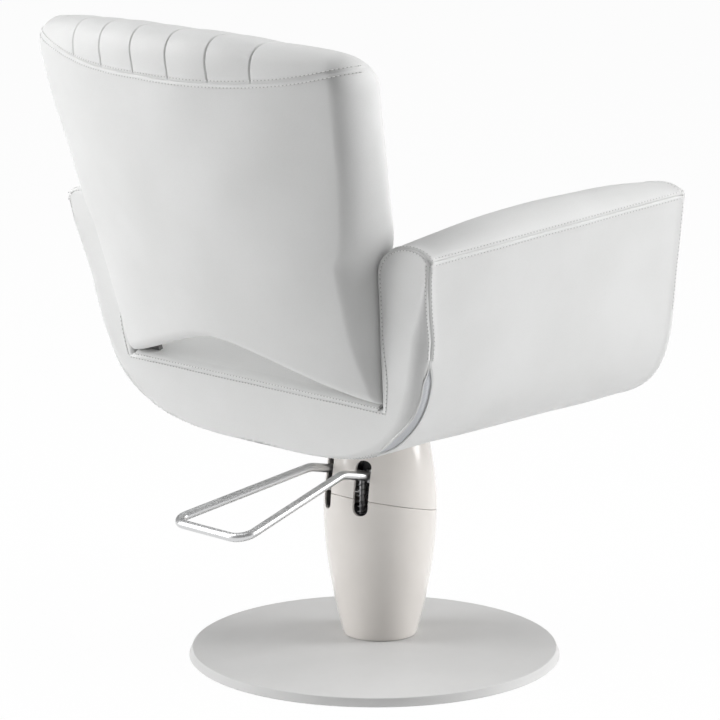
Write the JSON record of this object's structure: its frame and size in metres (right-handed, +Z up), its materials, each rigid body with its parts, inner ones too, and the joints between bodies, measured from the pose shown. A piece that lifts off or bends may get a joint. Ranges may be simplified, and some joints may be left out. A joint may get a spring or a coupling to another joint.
{
  "type": "hairdressing chair",
  "caption": "Upholstered salon styling chair with wrap-round arms and a channelled backrest on a swivelling hydraulic pump with a foot lever and a round floor disc.",
  "frame": {"origin": "on the floor, under the axis of the pump column and ram", "axes": "+Z up along the column; the sitter faces -Y, so +Y is the rear; the sitter's right is -X"},
  "size_m": [0.6862, 0.6763, 0.8802],
  "materials": {
    "leatherette": "satin white leatherette",
    "powder_coat": "matt white powder coat",
    "ivory_plastic": "gloss ivory",
    "chrome": "polished chrome",
    "steel": "zinc plated",
    "cast_body": "painted casting",
    "bronze": "plain bearing bronze",
    "black_rubber": "matt black",
    "plywood": "raw plywood",
    "zip_grey": "woven grey"
  },
  "bodies": {
    "base": {"floor_pad": "black_rubber", "base_disc": "powder_coat", "spindle": "steel", "thrust_washer": "bronze", "base_screw_1": "steel", "base_screw_2": "steel", "base_screw_3": "steel", "base_screw_4": "steel"},
    "pump": {"reservoir": "cast_body", "pump_head": "cast_body", "ram_bush": "bronze", "ram_wiper": "black_rubber", "plunger_spring": "steel", "lower_cover": "ivory_plastic", "upper_cover": "ivory_plastic", "lever_clip_left": "steel", "lever_clip_right": "steel"},
    "lever": {"lever_rod": "chrome", "lever_hub_left": "steel", "lever_hub_right": "steel", "lever_cross_bar": "steel", "lever_bush_left": "bronze", "lever_bush_right": "bronze"},
    "plunger": {"plunger": "steel"},
    "seat": {"ram": "steel", "ram_socket": "steel", "mounting_plate": "steel", "plate_bolt_1": "steel", "plate_bolt_2": "steel", "plate_bolt_3": "steel", "plate_bolt_4": "steel", "seat_board": "plywood", "back_strut_left": "steel", "back_strut_right": "steel", "strut_bolt_1": "steel", "strut_bolt_2": "steel", "strut_bolt_3": "steel", "strut_bolt_4": "steel", "tub": "leatherette", "seat_cushion": "leatherette", "back_pad": "leatherette", "zip_left": "zip_grey", "zip_right": "zip_grey"}
  },
  "joints": [
    {"name": "swivel", "type": "hinge", "parent": "base", "child": "pump", "pos_m": [0, 0, 0.05], "axis": [0, 0, 1], "continuous": true},
    {"name": "lift", "type": "slide", "parent": "pump", "child": "seat", "axis": [0, 0, 1], "range_m": [0, 0.14]},
    {"name": "lever_pump", "type": "hinge", "parent": "pump", "child": "lever", "pos_m": [0, 0, 0.234], "axis": [-1, 0, 0], "range_deg": [-8, 34], "stiffness_Nm_per_rad": 8, "springref_deg": -8.59},
    {"name": "plunger_stroke", "type": "slide", "parent": "pump", "child": "plunger", "axis": [0, 0, -1], "range_m": [-0.005, 0.0205], "deforming": ["plunger_spring"]}
  ],
  "couplings": [
    {"joint": "plunger_stroke", "follows": "lever_pump", "m_per_rad": 0.034}
  ]
}
